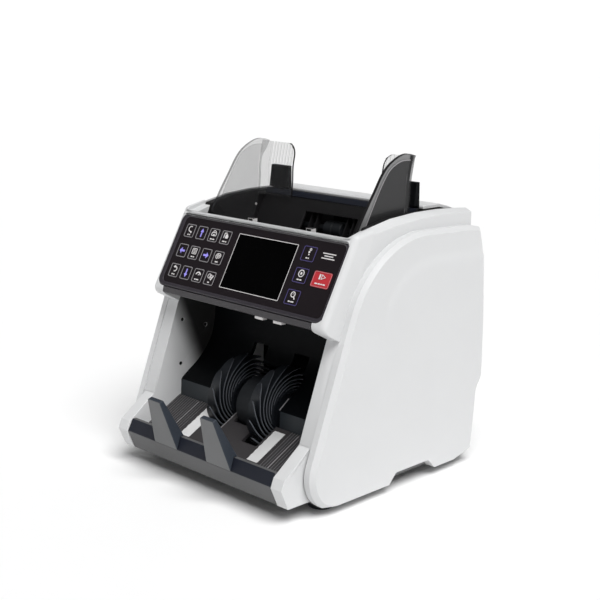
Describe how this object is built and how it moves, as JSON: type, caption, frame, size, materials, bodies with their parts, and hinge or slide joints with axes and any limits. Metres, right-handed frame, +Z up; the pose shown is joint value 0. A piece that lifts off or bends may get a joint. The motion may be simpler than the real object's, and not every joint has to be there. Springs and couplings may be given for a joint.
{
  "type": "banknote counting machine",
  "caption": "Desktop banknote counting machine with a top hopper, slanted key panel with screen, sliding note guides and a front pocket with stacker wheels.",
  "frame": {"origin": "on the floor under the middle of the whole machine's box", "axes": "+X to the machine's right as seen by its user facing it, -Y towards the user, +Z up"},
  "size_m": [0.246, 0.2628, 0.2925],
  "materials": {
    "white_shell": "satin",
    "grey_plastic": "satin",
    "charcoal_plastic": "satin",
    "black_plastic": "matt",
    "bezel_plastic": "gloss",
    "key_film": "gloss",
    "red_key": "gloss",
    "display_glass": "polished",
    "clear_window": "clear",
    "smoke_plastic": "translucent",
    "rubber": "matt",
    "steel": "brushed",
    "circuit_board": "lacquered"
  },
  "bodies": {
    "housing": {"base_pan": "grey_plastic", "foot_front_left": "rubber", "foot_front_right": "rubber", "foot_rear_left": "rubber", "foot_rear_right": "rubber", "side_wall_left": "white_shell", "side_wall_right": "white_shell", "side_panel_left": "white_shell", "side_panel_right": "white_shell", "head_frame": "white_shell", "rear_cover": "white_shell", "power_inlet": "black_plastic", "bezel": "bezel_plastic", "display": "display_glass", "control_board": "circuit_board", "pocket_roof": "charcoal_plastic", "pocket_floor": "charcoal_plastic", "pocket_back": "black_plastic", "front_bar": "charcoal_plastic", "sensor_window_left": "clear_window", "sensor_window_right": "clear_window", "finger_stop_left": "grey_plastic", "finger_stop_right": "grey_plastic", "hopper_floor": "black_plastic", "hopper_back": "black_plastic", "hopper_liner_left": "black_plastic", "hopper_liner_right": "black_plastic", "drive_motor": "steel", "power_supply": "circuit_board", "main_board": "circuit_board"},
    "lid": {"top_cover": "white_shell"},
    "left_guide": {"note_guide_left": "smoke_plastic", "guide_rack_left": "black_plastic"},
    "right_guide": {"note_guide_right": "smoke_plastic", "guide_rack_right": "black_plastic"},
    "pinion": {"guide_pinion": "steel"},
    "stacker": {"stacker_shaft": "rubber", "stacker_wheel_left": "rubber", "stacker_wheel_right": "rubber"},
    "pick": {"pick_roller": "rubber"},
    "feed": {"feed_roller": "rubber"},
    "drum": {"transport_drum": "rubber"},
    "motor_rotor": {"motor_pulley": "steel"},
    "switch_rocker": {"rocker_switch": "black_plastic"},
    "key_loop": {"key_loop": "key_film"},
    "key_up": {"key_up": "key_film"},
    "key_print": {"key_print": "key_film"},
    "key_batch": {"key_batch": "key_film"},
    "key_previous": {"key_previous": "key_film"},
    "key_menu": {"key_menu": "key_film"},
    "key_next": {"key_next": "key_film"},
    "key_add": {"key_add": "key_film"},
    "key_back": {"key_back": "key_film"},
    "key_down": {"key_down": "key_film"},
    "key_speed": {"key_speed": "key_film"},
    "key_detect": {"key_detect": "key_film"},
    "key_currency": {"key_currency": "key_film"},
    "key_mode": {"key_mode": "key_film"},
    "key_query": {"key_query": "key_film"},
    "key_start": {"key_start": "red_key"}
  },
  "joints": [
    {"name": "lid_hinge", "type": "hinge", "parent": "housing", "child": "lid", "pos_m": [0, 0.1194, 0.152], "axis": [-1, 0, 0], "range_deg": [0, 75]},
    {"name": "left_guide_slide", "type": "slide", "parent": "housing", "child": "left_guide", "axis": [1, 0, 0], "range_m": [0, 0.035]},
    {"name": "right_guide_slide", "type": "slide", "parent": "housing", "child": "right_guide", "axis": [-1, 0, 0], "range_m": [0, 0.035]},
    {"name": "guide_pinion_spin", "type": "hinge", "parent": "housing", "child": "pinion", "pos_m": [0, 0.0709, 0.229], "axis": [0, 1, 0], "range_deg": [0, 318]},
    {"name": "drum_spin", "type": "hinge", "parent": "housing", "child": "drum", "pos_m": [0, 0.0449, 0.15], "axis": [1, 0, 0], "continuous": true},
    {"name": "motor_spin", "type": "hinge", "parent": "housing", "child": "motor_rotor", "pos_m": [0, 0.0799, 0.06], "axis": [1, 0, 0], "continuous": true},
    {"name": "feed_spin", "type": "hinge", "parent": "housing", "child": "feed", "pos_m": [0, 0.0589, 0.212], "axis": [1, 0, 0], "continuous": true},
    {"name": "pick_spin", "type": "hinge", "parent": "housing", "child": "pick", "pos_m": [0, -0.0026, 0.1991], "axis": [1, 0, 0], "continuous": true},
    {"name": "stacker_spin", "type": "hinge", "parent": "housing", "child": "stacker", "pos_m": [0, -0.0371, 0.062], "axis": [1, 0, 0], "continuous": true},
    {"name": "power_rocker", "type": "hinge", "parent": "housing", "child": "switch_rocker", "pos_m": [0.062, 0.1169, 0.062], "axis": [1, 0, 0], "range_deg": [0, 14]},
    {"name": "key_loop_press", "type": "slide", "parent": "housing", "child": "key_loop", "axis": [0, 0.8686, -0.4955], "range_m": [0, 0.0004], "stiffness_N_per_m": 600},
    {"name": "key_up_press", "type": "slide", "parent": "housing", "child": "key_up", "axis": [0, 0.8686, -0.4955], "range_m": [0, 0.0004], "stiffness_N_per_m": 600},
    {"name": "key_print_press", "type": "slide", "parent": "housing", "child": "key_print", "axis": [0, 0.8686, -0.4955], "range_m": [0, 0.0004], "stiffness_N_per_m": 600},
    {"name": "key_batch_press", "type": "slide", "parent": "housing", "child": "key_batch", "axis": [0, 0.8686, -0.4955], "range_m": [0, 0.0004], "stiffness_N_per_m": 600},
    {"name": "key_previous_press", "type": "slide", "parent": "housing", "child": "key_previous", "axis": [0, 0.8686, -0.4955], "range_m": [0, 0.0004], "stiffness_N_per_m": 600},
    {"name": "key_menu_press", "type": "slide", "parent": "housing", "child": "key_menu", "axis": [0, 0.8686, -0.4955], "range_m": [0, 0.0004], "stiffness_N_per_m": 600},
    {"name": "key_next_press", "type": "slide", "parent": "housing", "child": "key_next", "axis": [0, 0.8686, -0.4955], "range_m": [0, 0.0004], "stiffness_N_per_m": 600},
    {"name": "key_add_press", "type": "slide", "parent": "housing", "child": "key_add", "axis": [0, 0.8686, -0.4955], "range_m": [0, 0.0004], "stiffness_N_per_m": 600},
    {"name": "key_back_press", "type": "slide", "parent": "housing", "child": "key_back", "axis": [0, 0.8686, -0.4955], "range_m": [0, 0.0004], "stiffness_N_per_m": 600},
    {"name": "key_down_press", "type": "slide", "parent": "housing", "child": "key_down", "axis": [0, 0.8686, -0.4955], "range_m": [0, 0.0004], "stiffness_N_per_m": 600},
    {"name": "key_speed_press", "type": "slide", "parent": "housing", "child": "key_speed", "axis": [0, 0.8686, -0.4955], "range_m": [0, 0.0004], "stiffness_N_per_m": 600},
    {"name": "key_detect_press", "type": "slide", "parent": "housing", "child": "key_detect", "axis": [0, 0.8686, -0.4955], "range_m": [0, 0.0004], "stiffness_N_per_m": 600},
    {"name": "key_currency_press", "type": "slide", "parent": "housing", "child": "key_currency", "axis": [0, 0.8686, -0.4955], "range_m": [0, 0.0004], "stiffness_N_per_m": 600},
    {"name": "key_mode_press", "type": "slide", "parent": "housing", "child": "key_mode", "axis": [0, 0.8686, -0.4955], "range_m": [0, 0.0004], "stiffness_N_per_m": 600},
    {"name": "key_query_press", "type": "slide", "parent": "housing", "child": "key_query", "axis": [0, 0.8686, -0.4955], "range_m": [0, 0.0004], "stiffness_N_per_m": 600},
    {"name": "key_start_press", "type": "slide", "parent": "housing", "child": "key_start", "axis": [0, 0.8686, -0.4955], "range_m": [0, 0.0004], "stiffness_N_per_m": 600}
  ],
  "couplings": [
    {"joint": "right_guide_slide", "follows": "left_guide_slide", "ratio": 1},
    {"joint": "guide_pinion_spin", "follows": "left_guide_slide", "rad_per_m": 157.48},
    {"joint": "motor_spin", "follows": "drum_spin", "ratio": 1.7778},
    {"joint": "feed_spin", "follows": "drum_spin", "ratio": 2},
    {"joint": "pick_spin", "follows": "drum_spin", "ratio": 2.2857},
    {"joint": "stacker_spin", "follows": "drum_spin", "ratio": 1.4546}
  ]
}
